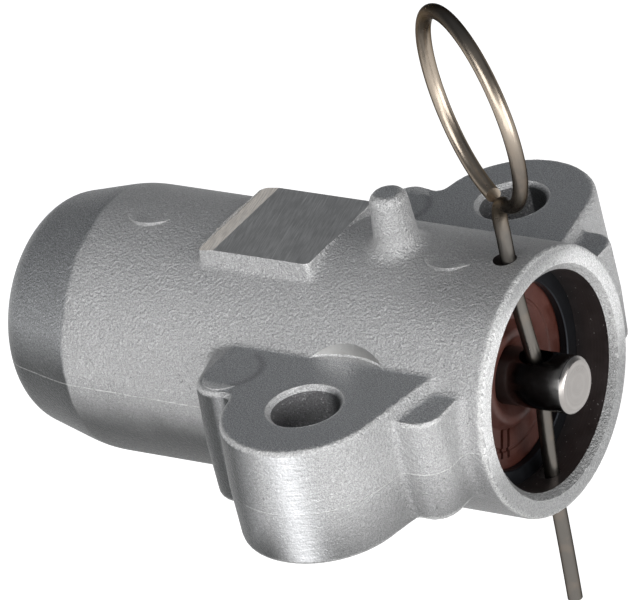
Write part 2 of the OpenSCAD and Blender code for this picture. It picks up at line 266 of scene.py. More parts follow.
@dataclass(frozen=True)
class Wall:
    """A straight wall of an outline, seen along Z, by its outward direction and its reach."""

    nx: float
    ny: float
    reach: float

    @classmethod
    def touching(cls, first: Corner, second: Corner, side: int) -> Wall:
        """Lay a wall against two corners.

        Args:
            first: a round corner.
            second: another round corner.
            side: 1 for the left of the way from first to second, -1 for its right.

        Returns:
            The wall.
        """
        dx, dy = second.x - first.x, second.y - first.y
        lean = math.acos((first.radius - second.radius) / math.hypot(dx, dy))
        turn = math.atan2(dy, dx) + side * lean
        nx, ny = math.cos(turn), math.sin(turn)
        return cls(nx, ny, nx * first.x + ny * first.y + first.radius)

    @classmethod
    def through(cls, first: Spot, second: Spot) -> Wall:
        """Lay a wall through two points.

        Args:
            first: a point.
            second: another point; the wall faces the left of the way to it.

        Returns:
            The wall.
        """
        dx, dy = second[0] - first[0], second[1] - first[1]
        run = math.hypot(dx, dy)
        nx, ny = -dy / run, dx / run
        return cls(nx, ny, nx * first[0] + ny * first[1])

    def foot(self, corner: Corner) -> Spot:
        """Return the point where the wall touches a corner."""
        return corner.x + corner.radius * self.nx, corner.y + corner.radius * self.ny

    def field(self, x: Sock, y: Sock) -> Sock:
        """Return the distance in front of the wall."""
        return x * self.nx + y * self.ny - self.reach


class Rule:
    """A Geometry Nodes tree with named inputs for its sizes."""

    def __init__(self, name: str, sizes: Mapping[str, float]) -> None:
        """Make an empty tree.

        Args:
            name: the tree's name.
            sizes: a value for each named input.
        """
        self.group = bpy.data.node_groups.new(name, "GeometryNodeTree")
        self.tree = Tree(self.group)
        face = self.group.interface
        for way in ("INPUT", "OUTPUT"):
            face.new_socket("Geometry", in_out=way, socket_type="NodeSocketGeometry")
        self.sizes = {face.new_socket(key, in_out="INPUT", socket_type="NodeSocketFloat").identifier: value
                      for key, value in sizes.items()}
        self.start = self.group.nodes.new("NodeGroupInput")

    def input(self, name: str) -> Sock:
        """Return a named input."""
        return Sock(self.tree, self.start.outputs[name])

    def mesh(self, carrier: Object, shape: Sock) -> Mesh:
        """End the tree, run it on a carrier and take the result.

        Args:
            carrier: the object that the tree runs on; it is deleted afterwards.
            shape: the geometry that the tree makes.

        Returns:
            A plain mesh.
        """
        real = self.tree.node("GeometryNodeRealizeInstances", {0: shape})
        self.tree.fill(self.group.nodes.new("NodeGroupOutput"), {0: real})
        bpy.context.collection.objects.link(carrier)
        modifier = carrier.modifiers.new("rule", "NODES")
        modifier.node_group = self.group
        for identifier, value in self.sizes.items():
            modifier[identifier] = value
        mesh = evaluated(carrier)
        bpy.data.objects.remove(carrier)
        return mesh


def evaluated(source: Object) -> Mesh:
    """Return a plain mesh of an object with its modifiers applied."""
    graph = bpy.context.evaluated_depsgraph_get()
    return bpy.data.meshes.new_from_object(source.evaluated_get(graph), depsgraph=graph)


def plain_mesh(shape: bmesh.types.BMesh, place: Matrix) -> Mesh:
    """Turn an edit mesh in millimetres into a plain mesh in metres.

    Args:
        shape: the edit mesh, which is freed.
        place: the matrix that places it, in millimetres.

    Returns:
        The plain mesh.
    """
    bmesh.ops.transform(shape, matrix=Matrix.Scale(MM, 4) @ place, verts=shape.verts)
    mesh = bpy.data.meshes.new("made")
    shape.to_mesh(mesh)
    shape.free()
    return mesh


class Axis(Enum):
    """Direction that a turned shape's axis takes."""

    ALONG = Matrix(((1, 0, 0), (0, 1, 0), (0, 0, 1)))
    UP = Matrix(((0, 0, -1), (0, 1, 0), (1, 0, 0)))


def stepped(stations: Sequence[float], radii: Sequence[float]) -> list[Spot]:
    """Return the outline of a stepped shaft from axis to axis.

    Args:
        stations: where the steps begin and, last, where the shaft ends.
        radii: radius of each step.

    Returns:
        Station and radius of each point.
    """
    runs = [((start, radius), (end, radius)) for start, end, radius in zip(stations, stations[1:], radii)]
    return [(stations[0], 0.0), *(point for run in runs for point in run), (stations[-1], 0.0)]


def turned(outline: Sequence[Spot], axis: Axis = Axis.ALONG, centre: Place = (0.0, 0.0, 0.0),
           closed: bool = False, steps: int = 128, start: float = 0.0, sweep: float = FULL_TURN) -> Mesh:
    """Turn an outline about an axis.

    Args:
        outline: station and radius of each point, in millimetres.
        axis: where the axis points.
        centre: the axis's origin, in millimetres.
        closed: whether the last point joins the first, as in a ring.
        steps: number of steps in the turn.
        start: angle of the first step, in degrees, from -Z of the outline's own frame.
        sweep: angle of the whole turn, in degrees.

    Returns:
        A closed mesh with its normals outward.
    """
    shape = bmesh.new()
    spin = Matrix.Rotation(math.radians(start), 3, "X")
    points = [shape.verts.new(spin @ Vector((station, 0.0, radius))) for station, radius in outline]
    edges = [shape.edges.new(pair) for pair in zip(points, points[1:] + points[:closed])]
    whole = sweep >= FULL_TURN
    bmesh.ops.spin(shape, geom=points + edges, cent=(0, 0, 0), axis=(1, 0, 0), dvec=(0, 0, 0),
                   angle=math.radians(sweep), steps=steps, use_merge=whole, use_duplicate=False)
    bmesh.ops.remove_doubles(shape, verts=shape.verts, dist=WELD)
    if not whole:
        bmesh.ops.holes_fill(shape, edges=[edge for edge in shape.edges if edge.is_boundary], sides=0)
    bmesh.ops.recalc_face_normals(shape, faces=shape.faces)
    return plain_mesh(shape, Matrix.Translation(Vector(centre)) @ axis.value.to_4x4())


def drill(low: float, high: float, radius: float, spot: Spot, steps: int = 64) -> Mesh:
    """Make an upright cylinder.

    Args:
        low: its lower end, in millimetres.
        high: its upper end.
        radius: its radius.
        spot: X and Y of its axis.
        steps: number of steps round it.

    Returns:
        A closed mesh.
    """
    return turned(stepped((low, high), (radius,)), Axis.UP, (*spot, 0.0), steps=steps)


def block(low: Place, high: Place, turn: Optional[Matrix] = None) -> Mesh:
    """Make a box.

    Args:
        low: its lowest corner, in millimetres.
        high: its highest corner, in millimetres.
        turn: a matrix that places the box, if any.

    Returns:
        A closed mesh.
    """
    shape = bmesh.new()
    size = [top - bottom for bottom, top in zip(low, high)]
    middle = [(top + bottom) / 2 for bottom, top in zip(low, high)]
    bmesh.ops.create_cube(shape, size=1.0)
    return plain_mesh(shape, (turn or Matrix()) @ Matrix.Translation(middle) @ Matrix.Diagonal((*size, 1.0)))


def leaning(slope: float, middle: float = 0.0) -> Matrix:
    """Return the matrix that raises a mesh along Y by a slope, from its middle on."""
    return Matrix(((1, 0, 0, 0), (0, 1, 0, 0), (0, slope, 1, -slope * middle), (0, 0, 0, 1)))


def piece(name: str, mesh: Mesh) -> Object:
    """Put a mesh into the scene as an object at the origin."""
    made = bpy.data.objects.new(name, mesh)
    bpy.context.collection.objects.link(made)
    return made


def cut(mesh: Mesh, cutters: Sequence[Mesh], added: Sequence[Mesh] = ()) -> Mesh:
    """Add solids to a solid, then machine it.

    Args:
        mesh: the closed solid.
        cutters: closed solids that are taken away from it.
        added: closed solids that join it first.

    Returns:
        What is left.
    """
    work = piece("work", mesh)
    for operation, tools in (("UNION", added), ("DIFFERENCE", cutters)):
        for tool in tools:
            modifier = work.modifiers.new("cut", "BOOLEAN")
            modifier.operation = operation
            modifier.solver = "EXACT"
            modifier.object = piece("tool", tool)
    result = evaluated(work)
    for spent in [work, *(modifier.object for modifier in work.modifiers)]:
        bpy.data.objects.remove(spent)
    return result


def read(items: Any, name: str, width: int = 3, kind: type = np.float64) -> np.ndarray:
    """Read one property of many mesh items, a row for each item."""
    flat = np.empty(len(items) * width, dtype=kind)
    items.foreach_get(name, flat)
    return flat.reshape(-1, width)


def write(mesh: Mesh, name: str, values: np.ndarray) -> None:
    """Store a number at each vertex."""
    attribute = mesh.attributes.new(name, "FLOAT", "POINT")
    attribute.data.foreach_set("value", np.ascontiguousarray(values, dtype=np.float32))


def ramp(values: np.ndarray, start: float, end: float) -> np.ndarray:
    """Rise evenly from 0 at one value to 1 at another."""
    return np.clip((values - start) / (end - start), 0.0, 1.0)


def shade(colour: Colour, gain: float) -> Colour:
    """Return a colour made darker or lighter."""
    return tuple(min(1.0, part * gain) for part in colour)


@dataclass(frozen=True)
class Finish:
    """A surface finish; its kinds say how it is painted."""

    name: str
    colour: Colour
    metallic: float = 1.0
    roughness: float = 0.4
    edge_tint: float = 1.0

    @functools.cache
    def material(self) -> Material:
        """Return the finish's material, made once."""
        made = bpy.data.materials.new(self.name)
        made.use_nodes = True
        made.diffuse_color = (*self.colour, 1.0)
        shader = made.node_tree.nodes["Principled BSDF"]
        tree = Tree(made.node_tree)
        tree.fill(shader, {"Base Color": (*self.colour, 1.0), "Metallic": self.metallic,
                           "Roughness": self.roughness, "Specular Tint": (*(self.edge_tint,) * 3, 1.0)})
        place = tree.node("ShaderNodeTexCoord", output="Object").scaled(*(1 / MM,) * 3)
        tree.fill(shader, self.paint(tree, place))
        return made

    def paint(self, tree: Tree, place: Sock) -> dict[str, Sock]:
        """Build the finish's nodes.

        Args:
            tree: the material's tree.
            place: the point on the surface, in millimetres.

        Returns:
            A link for each input of the shader that varies.
        """
        raise NotImplementedError

    def tone(self, factor: Sock, spread: float) -> Sock:
        """Shade the colour, darker by a share where the factor is 0 and lighter where it is 1."""
        return self.between(factor, self.colour, 1 - spread, 1 + spread)

    def rough(self, noise: Sock, spread: float) -> Sock:
        """Vary the roughness by a noise."""
        return (noise - 0.5) * spread + self.roughness

    @staticmethod
    def between(factor: Sock, colour: Colour, dark: float, light: float) -> Sock:
        """Shade a colour between two gains."""
        return factor.tree.layered(shade(colour, dark), (factor, shade(colour, light)))

    @staticmethod
    def bump(height: Sock, depth: float, under: Optional[Sock] = None) -> Sock:
        """Raise a surface by a height from 0 to 1 that stands for a depth, over another normal if any."""
        sockets = {"Strength": 1.0, "Distance": depth * MM, "Height": height}
        return height.tree.node("ShaderNodeBump", {**sockets, "Normal": under} if under else sockets)


@dataclass(frozen=True)
class Casting(Finish):
    """Shot-blasted die casting, smoother and darker on its die faces and its tail, with painted shade on its
    lower half, its tail, the front of its crown, walls turned from the light and a crescent by each lobe
    disc, and a painted highlight band on its ear walls.
    """

    fleck: Colour = (0.85, 0.85, 0.85)
    worn: Colour = (0.8, 0.8, 0.79)
    seam: Colour = (0.85, 0.85, 0.84)
    pitted: Colour = (0.1, 0.1, 0.1)
    shadow: Colour = (0.02, 0.022, 0.022)
    die_colour: Colour = (0.36, 0.37, 0.38)
    die_fleck: Colour = (0.9, 0.92, 0.95)
    die_metallic: float = 0.7
    die_roughness: float = 0.42
    die_share: float = 0.8
    # Painted highlight: the colour of the light band painted on the ear walls.
    painted_highlight: Colour = (0.78, 0.785, 0.8)
    wall_gain: float = 0.2
    mottle: Spot = (0.34, 0.68)
    cloud_cells: float = 0.12
    grain_cells: float = 2.5
    grain_depth: float = 0.34
    fine_cells: float = 6.2
    fine_depth: float = 0.09
    pit_cells: float = 1.5
    pit_depth: float = 0.06
    scratch_cells: float = 1.8
    scratch_stretch: Place = (0.2, 0.2, 2.4)
    scratch_depth: float = 0.05
    # Painted shade on the lower half of the casting: how dark, where, how its edge drifts, and its fade
    # towards the front.
    lower_shade_tone: float = 0.9
    lower_shade_z: Spot = (2.5, -8.0)
    lower_shade_drift: float = 4.0
    lower_shade_fade_x: Spot = (-2.0, 12.0)
    # Painted shade on the front of the crown: how dark, and where.
    crown_shade_tone: float = 0.32
    crown_shade_z: Spot = (13.0, 18.0)
    crown_shade_x: Spot = (0.0, 14.0)
    tail_x: Spot = (-46.6, -47.4)
    tail_drift: float = 2.0
    tail_rise: float = 8.0
    parting: Spot = (0.15, 0.045)
    parting_drift: float = 0.3

    def paint(self, tree: Tree, place: Sock) -> dict[str, Sock]:
        """Build the blasted grain and the die skin, then painted shade, a painted highlight band, edges, pits
        and parting line.
        """
        x, z = place.axis("X"), place.axis("Z")
        skin, edge, wall, turned_away_shade = (tree.attribute(name) for name in ("skin", "edge", "wall", "turned_away_shade"))
        cloud = tree.noise(place, self.cloud_cells)
        drift = cloud - 0.5
        tail = (x + drift * self.tail_drift).step(*self.tail_x)
        smooth = greatest(skin, tail, wall) * self.die_share
        grain = tree.noise(place, self.grain_cells, 3.0, 0.6)
        fine = tree.noise(place, self.fine_cells, 2.0, 0.6)
        pit = tree.noise(place, self.pit_cells, 2.0, 0.5).step(0.69, 0.75)
        scratch = tree.noise(place.scaled(*self.scratch_stretch), self.scratch_cells, 4.0, 0.7)
        mottle = fine.step(*self.mottle)
        blasted = tree.layered(self.between(mottle, self.colour, 0.66, 1.12),
                               (grain.step(0.58, 0.7) * 0.4, self.fleck),
                               (cloud.step(0.3, 0.75) * 0.2, shade(self.colour, 0.8)))
        # Die skin, with a painted highlight: walls in the band are painted lighter.
        die = tree.layered(self.between(mottle, self.die_colour, 0.55, 1.25),
                           (fine.step(0.58, 0.68) * 0.3, self.die_fleck),
                           (wall * (scratch.step(0.35, 0.65) * 0.5 + 0.5), self.painted_highlight))
        # Painted shade: the lower half, the tail, the walls turned from the light and the front of the crown
        # are darkened towards the shadow colour.
        lower = (z - tail * self.tail_rise + drift * self.lower_shade_drift).step(*self.lower_shade_z)
        lower = lower * (1.0 - wall) * (1.0 - x.step(*self.lower_shade_fade_x) * 0.4)
        # Painted shade: the front of the crown is darkened, except on die faces.
        crown = z.step(*self.crown_shade_z) * x.step(*self.crown_shade_x) * (1.0 - skin) * self.crown_shade_tone
        shaded = greatest(greatest(lower, turned_away_shade, tail * 0.3) * self.lower_shade_tone, crown)
        line = abs(z + drift * self.parting_drift).step(*self.parting)
        seam = line * grain.step(0.25, 0.55) * (1.0 - greatest(wall, turned_away_shade))
        colour = tree.layered(blasted, (smooth, die), (shaded, self.shadow),
                              (edge.step(0.3, 1.0) * (0.2 + fine.step(0.4, 0.6) * 0.35), self.worn),
                              (pit * (0.45 - smooth * 0.3), self.pitted),
                              (seam * (0.5 - tail * 0.25), self.seam))
        coarse = self.bump(grain * (1.0 - smooth * 0.5), self.grain_depth)
        scored = self.bump(scratch * wall, self.scratch_depth, coarse)
        dented = self.bump(1.0 - pit * (1.0 - smooth * 0.5), self.pit_depth, scored)
        height = fine * (1.0 - smooth * 0.45) + seam * 0.8
        metallic = smooth * (self.die_metallic - self.metallic) + self.metallic + wall * self.wall_gain
        return {"Base Color": colour, "Metallic": metallic,
                "Roughness": self.rough(grain, 0.25) + smooth * (self.die_roughness - self.roughness),
                "Normal": self.bump(height, self.fine_depth, dented)}


@dataclass(frozen=True)
class Milled(Finish):
    """Machined face with straight cutter lines across it."""

    turn: float = 0.0
    lines: float = 6.5
    stretch: Place = (1.0, 0.05, 0.3)
    depth: float = 0.03
    scuffs: float = 0.18

    def paint(self, tree: Tree, place: Sock) -> dict[str, Sock]:
        """Build long thin streaks and a few deeper scuffs."""
        crossed = tree.node("ShaderNodeVectorRotate", {"Vector": place, "Angle": math.radians(self.turn)},
                            rotation_type="Z_AXIS")
        drawn = crossed.scaled(*self.stretch)
        streak = tree.noise(drawn, self.lines, 3.0, 0.6)
        scuff = tree.noise(drawn, self.lines * 0.4, 1.0, 0.4).step(0.62, 0.72)
        cloud = tree.noise(place, 0.3)
        colour = tree.layered(self.between(streak.step(0.3, 0.7), self.colour, 0.7, 1.08),
                              (cloud.step(0.35, 0.7) * 0.4, shade(self.colour, 0.6)),
                              (scuff * self.scuffs, shade(self.colour, 1.8)))
        return {"Base Color": colour, "Roughness": self.rough(streak, 0.3),
                "Normal": self.bump(streak, self.depth)}


@dataclass(frozen=True)
class Lathed(Finish):
    """Turned metal with fine rings about the barrel's axis or along it."""

    rings: float = 4.0
    depth: float = 0.012
    spread: float = 0.2
    # Painted glints: how many small bright spots, and their colour.
    glint_share: float = 0.0
    painted_glint: Colour = (0.7, 0.68, 0.66)

    def paint(self, tree: Tree, place: Sock) -> dict[str, Sock]:
        """Build rings that follow the turning tool, with a few painted glints as small bright spots."""
        radius = length(place.axis("Y"), place.axis("Z"))
        feed = tree.node("ShaderNodeCombineXYZ", {0: place.axis("X"), 1: radius * 1.3, 2: 0.0})
        ring = tree.noise(feed, self.rings, 3.0, 0.7)
        cloud = tree.noise(place, 0.5)
        # Painted glints as small bright spots.
        painted_glint = tree.noise(place, 2.4, 2.0, 0.5).step(0.7, 0.74) * self.glint_share
        colour = tree.layered(self.tone(ring * 0.6 + cloud * 0.4, self.spread), (painted_glint, self.painted_glint))
        return {"Base Color": colour, "Roughness": self.rough(cloud, 0.3),
                "Normal": self.bump(ring, self.depth)}


@dataclass(frozen=True)
class DrawnWire(Finish):
    """Drawn wire with die lines along it, stained in places, with painted shade on its shank and painted dark
    reflections at its bend and the top of its ring.
    """

    stain: Colour = (0.24, 0.19, 0.15)
    # Painted shade: the shank is painted darker than the ring.
    oiled: Colour = (0.14, 0.13, 0.118)
    # Painted dark reflection at the bend and the top of the ring, and how much of it.
    painted_dark_reflection: Colour = (0.07, 0.068, 0.066)
    dark_reflection_share: float = 0.75
    shank_shade_run: Spot = (58.0, 64.0)
    bend_rise: Spot = (65.0, 69.0)
    bend_fall: Spot = (92.0, 80.0)
    crest_z: Spot = (54.4, 57.4)
    stretch: float = 0.12
    girth: float = 1.2
    depth: float = 0.015

    def paint(self, tree: Tree, place: Sock) -> dict[str, Sock]:
        """Build lines along the wire, stains, the painted shade on the shank and the painted dark reflections
        on the bend and crest.
        """
        along, turn = tree.attribute("along"), tree.attribute("around") * math.tau
        drawn = tree.node("ShaderNodeCombineXYZ", {0: along * self.stretch,
                                                   1: tree.math("SINE", turn) * self.girth,
                                                   2: tree.math("COSINE", turn) * self.girth})
        line = tree.noise(drawn, 3.0, 3.0, 0.6)
        cloud = tree.noise(place, 0.35, 3.0, 0.5)
        # Painted dark reflection: the bend and the top of the ring are darkened.
        bend = along.step(*self.bend_rise) * along.step(*self.bend_fall)
        dark = greatest(place.axis("Z").step(*self.crest_z), bend) * self.dark_reflection_share
        ring = tree.layered(self.tone(line, 0.12), (dark, self.painted_dark_reflection))
        # Painted shade: the darker shank colour gives way to the ring colour along the wire.
        colour = tree.layered(self.oiled, (along.step(*self.shank_shade_run), ring),
                              (cloud.step(0.52, 0.72) * 0.3, self.stain))
        return {"Base Color": colour, "Roughness": self.rough(cloud, 0.2),
                "Normal": self.bump(line, self.depth)}


@dataclass(frozen=True)
class Moulded(Finish):
    """Moulded rubber or plastic, dusty in places, with painted shade on its lower side."""

    film: Colour = (0.3, 0.13, 0.08)
    # Painted shade on the lower side: how strong, and where.
    painted_lower_shade: float = 0.0
    painted_shade_z: Spot = (3.0, -5.0)
    depth: float = 0.015

    def paint(self, tree: Tree, place: Sock) -> dict[str, Sock]:
        """Build a soft mottle, painted shade on the lower side, dull dust and a fine grain."""
        cloud = tree.noise(place, 0.45, 4.0, 0.6)
        dust = tree.noise(place, 2.2, 3.0, 0.6).step(0.58, 0.72)
        # Painted shade: the lower side is darkened.
        painted_lower_shade = place.axis("Z").step(*self.painted_shade_z) * self.painted_lower_shade
        colour = tree.layered(self.tone(cloud, 0.3), (painted_lower_shade, shade(self.colour, 0.3)), (dust * 0.25, self.film))
        return {"Base Color": colour, "Roughness": cloud.step(0.3, 0.7) * 0.25 + self.roughness,
                "Normal": self.bump(tree.noise(place, 5.0), self.depth)}


CAST = Casting("blasted_casting", (0.46, 0.46, 0.462), 0.6, 0.52)
# Painted shade: the rim and the mouth set their own darkening of the lower half and the crown.
RIM = Casting("blasted_rim", (0.8, 0.8, 0.8), 0.55, 0.48, lower_shade_tone=0.95, crown_shade_tone=0.6)
# Painted shade: the bore wall is painted near-black, far darker than the casting, and carries painted glints.
BORE = Lathed("bored_wall", (0.095, 0.082, 0.08), 0.9, 0.45, depth=0.008, spread=0.5, glint_share=0.6)
MOUTH = Casting("cut_mouth", (0.48, 0.48, 0.478), 0.7, 0.5, lower_shade_tone=0.75, crown_shade_tone=0.6)
SCOOP = Lathed("spot_faced", (0.72, 0.71, 0.69), 1.0, 0.34, rings=3.0, depth=0.008, spread=0.15)
COUNTERSINK = Casting("countersunk", (0.64, 0.64, 0.64), 0.6, 0.48)
# Painted shade: the bolt-hole walls are painted darker than the casting.
HOLE = Casting("hole_wall", (0.24, 0.24, 0.245), 0.85, 0.55)
PAD = Milled("milled_pad", (0.5, 0.5, 0.495), 0.75, 0.42, turn=-14.0)
BEVEL = Milled("milled_bevel", (0.85, 0.79, 0.72), 0.2, 0.55, turn=-14.0)
# Painted reflection: the rod's side is painted near-black for the dark surroundings that it reflects.
ROD_SIDE = Lathed("ground_rod", (0.13, 0.127, 0.125), 1.0, 0.16, rings=6.0, depth=0.001)
ROD_END = Lathed("turned_end", (0.32, 0.303, 0.29), 1.0, 0.32, rings=2.4, depth=0.03, spread=0.35)
WIRE = DrawnWire("drawn_wire", (0.35, 0.298, 0.242), 1.0, 0.31, edge_tint=0.1)
# The seal gets painted shade on its lower side.
SEAL = Moulded("moulded_rubber", (0.066, 0.017, 0.0105), 0.0, 0.36, film=(0.09, 0.03, 0.02), painted_lower_shade=0.45)
RING = Lathed("blackened_ring", (0.022, 0.024, 0.028), 0.9, 0.4, depth=0.006)
GROUND = Lathed("ground_steel", (0.5, 0.5, 0.5), 1.0, 0.28)
SPRING = Lathed("oiled_spring", (0.3, 0.29, 0.28), 1.0, 0.35)
BALL = Lathed("polished_ball", (0.75, 0.75, 0.76), 1.0, 0.1, depth=0.001)
GUIDE = Moulded("moulded_guide", (0.62, 0.52, 0.38), 0.0, 0.45, film=(0.7, 0.62, 0.5))


class Body(str, Enum):
    """Bodies of the model that pieces ride on."""

    HOUSING = "housing"
    ROD = "rod"
    PIN = "pin"


def fill_slots(mesh: Mesh, *finishes: Finish) -> None:
    """Give a mesh its finishes, one in each slot."""
    mesh.materials.clear()
    for finish in finishes:
        mesh.materials.append(finish.material())


def dress(mesh: Mesh, crisp: float, *finishes: Finish) -> Mesh:
    """Shade a mesh smooth and give it its finishes.

    Args:
        mesh: the mesh.
        crisp: angle above which an edge stays crisp, in degrees.
        *finishes: the finish of each slot.

    Returns:
        The same mesh.
    """
    mesh.shade_smooth()
    mesh.set_sharp_from_angle(angle=math.radians(crisp))
    fill_slots(mesh, *finishes)
    return mesh


def place_piece(name: str, mesh: Mesh, body: Body, node: str) -> Object:
    """Put a finished piece in the place of a CAD node.

    Args:
        name: the piece's name.
        mesh: its mesh.
        body: the body that it rides on.
        node: the CAD node that it stands for.

    Returns:
        The piece.
    """
    made = piece(name, mesh)
    mesh.name = name
    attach(made, body.value)
    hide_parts(node)
    LOG.info("%s: %d faces, rides on %s, stands for %s", name, len(mesh.polygons), body.value, node)
    return made


class Surface(IntEnum):
    """Material slots of the casting."""

    CAST = 0
    BORE = 1
    RIM = 2
    MOUTH = 3
    HOLE = 4
    PAD = 5
    BEVEL = 6
    COUNTERSINK = 7
    SCOOP = 8


@dataclass
class Housing:
    """The casting: barrel, ears with webs and lobes, stub and pad, then its machining."""

    barrel_r: float = 18.7
    front: float = 21.2
    rear: float = 60.4
    tail: float = 13.4
    tail_angle: float = 14.0
    tail_blend: float = 0.8
    tail_round: float = 4.5
    rim_round: float = 0.7
    hole_y: float = 27.2
    hole_r: float = 4.7
    hole_chamfer: float = 0.65
    ear_up: float = 9.5
    ear_down: float = 8.3
    boss_r: float = 12.0
    draft: float = 2.0
    ear_round: float = 0.9
    scoop_r: float = 12.5
    scoop_lift: float = 0.03
    scoop_foot: float = 0.22
    ear_front: float = 14.0
    web_up: float = 7.7
    web_down: float = 7.4
    web_back: float = 2.0
    web_front: float = 18.3
    web_y: float = 25.5
    web_round: float = 2.6
    web_corner: float = 3.6
    web_edge: float = 0.45
    web_fillet: float = 0.7
    lobe_r: float = 4.7
    lobe_back: float = 14.8
    lobe_root: float = 4.6
    lobe_y: float = 23.4
    lobe_fillet: float = 1.2
    lobe_fall_x: float = -19.0
    lobe_fall: float = 0.5
    shoulder_y: float = 16.95
    cast_fillet: float = 1.0
    top_fillet: float = 0.4
    fillet_run: float = 3.0
    stub_h: float = 8.1
    stub_r: float = 2.6
    stub_draft: float = 4.0
    stub_round: float = 1.4
    stub_fillet: float = 2.0
    pad_top: float = 18.9
    pad_half_w: float = 8.5
    pad_back: float = 9.2
    pad_l: float = 18.0
    pad_bevel: float = 2.6
    pad_drop: float = 0.4
    pad_fillet: float = 0.3
    pad_corner: float = 0.6
    pad_stock: float = 0.6
    pad_lean: float = 0.15
    pad_edge: float = 0.3
    mark_r: float = 4.3
    mark_sink: float = 0.24
    mark_lean: float = 0.06
    mark_root: float = 1.0
    mark_stations: Spot = (9.2, -39.3)
    lobe_mark_r: float = 2.9
    lobe_mark_x: float = -15.0
    lobe_mark_y: float = 24.1
    lip_h: float = 0.16
    lip_lean: float = 0.09
    bore_r: float = 15.2
    reservoir_r: float = 13.6
    sleeve_seat_r: float = 9.52
    floor_x: float = -55.2
    step_x: float = -24.2
    seal_x: float = 8.98
    ring_x: float = 13.8
    ring_t: float = 1.3
    ring_play: float = 0.02
    groove_r: float = 16.1
    mouth_chamfer: float = 0.9
    pin_hole_x: float = 17.0
    pin_hole_r: float = 1.65
    over: float = 2.0
    margin: float = 1.0
    voxel: float = 0.44
    crisp: float = 32.0
    edge_bend: Spot = (0.06, 0.36)
    least_gap: float = 0.02
    die_gap: float = 0.15
    die_facing: float = 0.96
    wall_facing: float = 0.4
    # Painted highlight band on the ear walls: the facing at its middle; its spread and fade also shape the
    # painted shade on walls turned from the light.
    highlight_facing: float = 17.0
    facing_spread: float = 26.0
    wall_fade_run: float = 3.0
    # Painted shade: facings below which walls count as turned from the light, behind the lobes and elsewhere.
    shade_facing: float = 0.0
    lobe_shade_facing: float = 24.0
    lobe_shade_x: float = -11.4
    # Painted shadow: the crescent beside each lobe disc, its radius, place, width, run and darkness.
    lobe_shadow_r: float = 4.1
    lobe_shadow_y: float = 21.8
    lobe_shadow_w: float = 0.8
    lobe_shadow_run: float = 2.0
    lobe_shadow_tone: float = 0.4
    slots: Sequence[Finish] = (CAST, BORE, RIM, MOUTH, HOLE, PAD, BEVEL, COUNTERSINK, SCOOP)

    @property
    def pitch(self) -> float:
        """Return the slope of the pad's bevel, in radians."""
        return math.atan2(self.pad_drop, self.pad_bevel)

    def build(self) -> Object:
        """Cast the skin, machine it, mark its surfaces and dress it."""
        mesh = dress(cut(self.skin(), self.cutters(), self.mark_posts()), self.crisp, *self.slots)
        self.sort_faces(mesh)
        self.mark_wear(mesh)
        return place_piece("housing_casting", mesh, Body.HOUSING, "housing")

    def skin(self) -> Mesh:
        """Cast the outside as the surface where a field of distances is 0.

        Returns:
            The mesh of the casting before machining.
        """
        rule = Rule("cast_skin", {"Barrel radius": self.barrel_r, "Boss radius": self.boss_r,
                                  "Cast fillet": self.cast_fillet, "Ear rounding": self.ear_round})
        tree = rule.tree
        place = tree.node("GeometryNodeInputPosition").scaled(*(1 / MM,) * 3)
        x, y, z = (place.axis(name) for name in "XYZ")
        out = abs(y)
        below = z.step(self.ear_up, self.ear_up - self.fillet_run)
        bead = rule.input("Cast fillet") * below + self.top_fillet
        flanged = filleted(self.barrel_field(rule, x, y, z), self.ear_field(rule, x, out, z), bead)
        padded = filleted(flanged, self.pad_field(x, out, z), self.pad_fillet)
        whole = filleted(padded, self.stub_field(x, y, z), self.stub_fillet)
        half_width = self.hole_y + self.boss_r
        low = [part - self.margin for part in (-self.rear, -half_width, -self.barrel_r)]
        high = [part + self.margin for part in (self.front, half_width, self.barrel_r + self.stub_h)]
        counts = [math.ceil((top - bottom) / self.voxel) + 1 for bottom, top in zip(low, high)]
        ends = [bottom + self.voxel * (count - 1) for bottom, count in zip(low, counts)]
        cells = {f"Resolution {name}": count for name, count in zip("XYZ", counts)}
        volume = tree.node("GeometryNodeVolumeCube", {
            "Density": -whole, "Background": -1.0, "Min": [part * MM for part in low],
            "Max": [part * MM for part in ends], **cells})
        shell = tree.node("GeometryNodeVolumeToMesh", {"Volume": volume, "Threshold": 0.0})
        return rule.mesh(bpy.data.objects.new("cast_skin", bpy.data.meshes.new("cast_skin")), shell)

    def barrel_field(self, rule: Rule, x: Sock, y: Sock, z: Sock) -> Sock:
        """Return the distance to the barrel with its tapered tail and round rear end."""
        side = length(y, z) - rule.input("Barrel radius")
        slope = math.radians(self.tail_angle)
        taper = side * math.cos(slope) - (x + self.rear - self.tail) * math.sin(slope)
        wall = side.tree.math("SMOOTH_MAX", side, taper, self.tail_blend)
        closed = rounded(wall, -self.rear - x, self.tail_round)
        return rounded(closed, x - self.front, self.rim_round)

